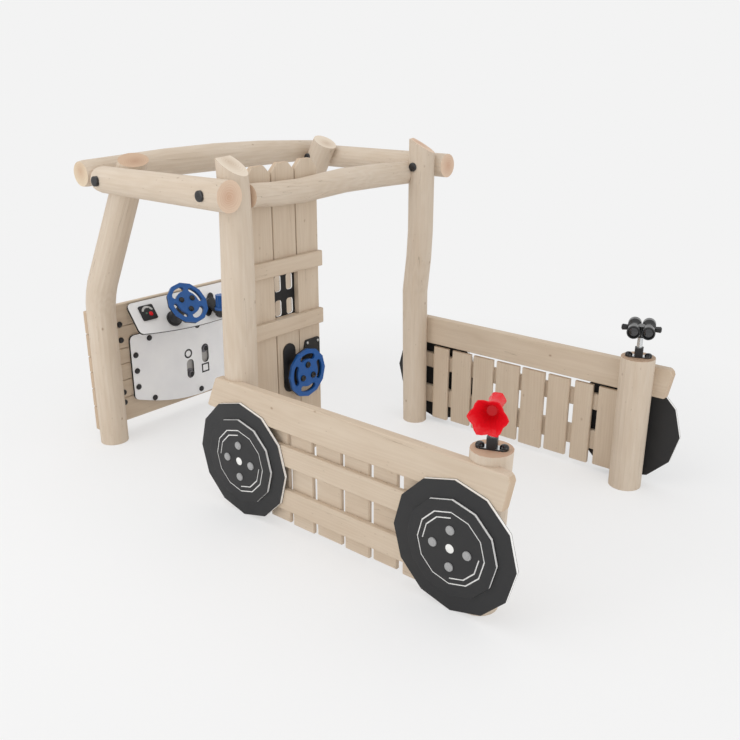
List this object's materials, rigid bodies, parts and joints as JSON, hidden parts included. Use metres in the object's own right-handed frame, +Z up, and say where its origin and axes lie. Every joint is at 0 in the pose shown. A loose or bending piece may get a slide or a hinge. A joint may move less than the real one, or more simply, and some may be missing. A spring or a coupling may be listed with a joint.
{
  "type": "timber play truck",
  "caption": "Walk-in timber play truck: pole-framed cab with dashboard, steering wheel and back wall, slatted bed sides, plate wheels, horn and binoculars.",
  "frame": {"origin": "on the ground at the middle of the truck's footprint", "axes": "+X towards the open tail, +Y to the far side with the binoculars, +Z up"},
  "size_m": [2.792, 1.732, 1.6581],
  "materials": {
    "sanded_robinia": "sanded, unfinished",
    "charcoal_plate": "fine-grained polyethylene plate",
    "white_panel": "two-colour polyethylene plate, white outside",
    "black_plastic": "moulded, satin",
    "blue_plastic": "fine-grained polyethylene plate",
    "red_plastic": "moulded, glossy",
    "steel": "galvanised"
  },
  "bodies": {
    "frame": {"front_post_near": "sanded_robinia", "front_post_far": "sanded_robinia", "mid_post_near": "sanded_robinia", "mid_post_far": "sanded_robinia", "tail_post_near": "sanded_robinia", "tail_post_far": "sanded_robinia", "roof_pole_near": "sanded_robinia", "roof_pole_far": "sanded_robinia", "roof_pole_front": "sanded_robinia", "roof_pole_rear": "sanded_robinia", "near_top_rail": "sanded_robinia", "far_top_rail": "sanded_robinia", "near_slat_panel": "sanded_robinia", "far_slat_panel": "sanded_robinia", "dash_plank_1": "sanded_robinia", "dash_plank_2": "sanded_robinia", "dash_plank_3": "sanded_robinia", "dash_plank_4": "sanded_robinia", "dash_plank_5": "sanded_robinia", "dash_plank_6": "sanded_robinia", "dash_wedge_near": "sanded_robinia", "dash_wedge_middle": "sanded_robinia", "dash_wedge_far": "sanded_robinia", "back_plank_near": "sanded_robinia", "back_plank_middle": "sanded_robinia", "back_plank_middle_top": "sanded_robinia", "back_plank_far": "sanded_robinia", "back_batten_lower": "sanded_robinia", "back_batten_upper": "sanded_robinia", "wheel_front_near": "charcoal_plate", "wheel_front_far": "charcoal_plate", "wheel_rear_near": "charcoal_plate", "wheel_rear_far": "charcoal_plate", "hub_plate_front_near": "charcoal_plate", "hub_plate_front_far": "charcoal_plate", "hub_plate_rear_near": "charcoal_plate", "hub_plate_rear_far": "charcoal_plate", "dash_panel_upper": "white_panel", "dash_panel_lower": "white_panel", "window_frame": "black_plastic", "finger_plate": "black_plastic", "back_bracket": "black_plastic", "gauge_housing": "black_plastic", "selector_housing": "black_plastic", "steering_base": "black_plastic", "horn_foot": "black_plastic", "bino_foot": "black_plastic", "horn_tube": "steel", "bino_tube": "steel"},
    "steering_wheel": {"steering_shaft": "black_plastic", "steering_rear_plate": "black_plastic", "steering_front_plate": "blue_plastic"},
    "back_play_wheel": {"back_wheel_shaft": "black_plastic", "back_wheel_rear_plate": "black_plastic", "back_wheel_front_plate": "blue_plastic"},
    "selector": {"selector_knob": "blue_plastic"},
    "near_slider": {"slider_near": "black_plastic"},
    "far_slider": {"slider_far": "black_plastic"},
    "horn": {"horn_bell": "red_plastic"},
    "binocular_head": {"binoculars": "black_plastic"}
  },
  "joints": [
    {"name": "steering_turn", "type": "hinge", "parent": "frame", "child": "steering_wheel", "pos_m": [-1.14245, -0.2256, 0.74269], "axis": [0.7986, 0, 0.6018], "continuous": true},
    {"name": "back_wheel_turn", "type": "hinge", "parent": "frame", "child": "back_play_wheel", "pos_m": [-0.1767, -0.255, 0.559], "axis": [1, 0, 0], "continuous": true},
    {"name": "selector_turn", "type": "hinge", "parent": "frame", "child": "selector", "pos_m": [-1.16426, 0.0463, 0.6483], "axis": [0, 0, 1], "continuous": true},
    {"name": "near_slider_slide", "type": "slide", "parent": "frame", "child": "near_slider", "axis": [0, 0, 1], "range_m": [0, 0.067]},
    {"name": "far_slider_slide", "type": "slide", "parent": "frame", "child": "far_slider", "axis": [0, 0, -1], "range_m": [0, 0.067]},
    {"name": "horn_turn", "type": "hinge", "parent": "frame", "child": "horn", "pos_m": [1.2004, -0.6805, 0.858], "axis": [0, 0, 1], "continuous": true},
    {"name": "binocular_turn", "type": "hinge", "parent": "frame", "child": "binocular_head", "pos_m": [1.178, 0.6805, 0.836], "axis": [0, 0, 1], "continuous": true}
  ]
}
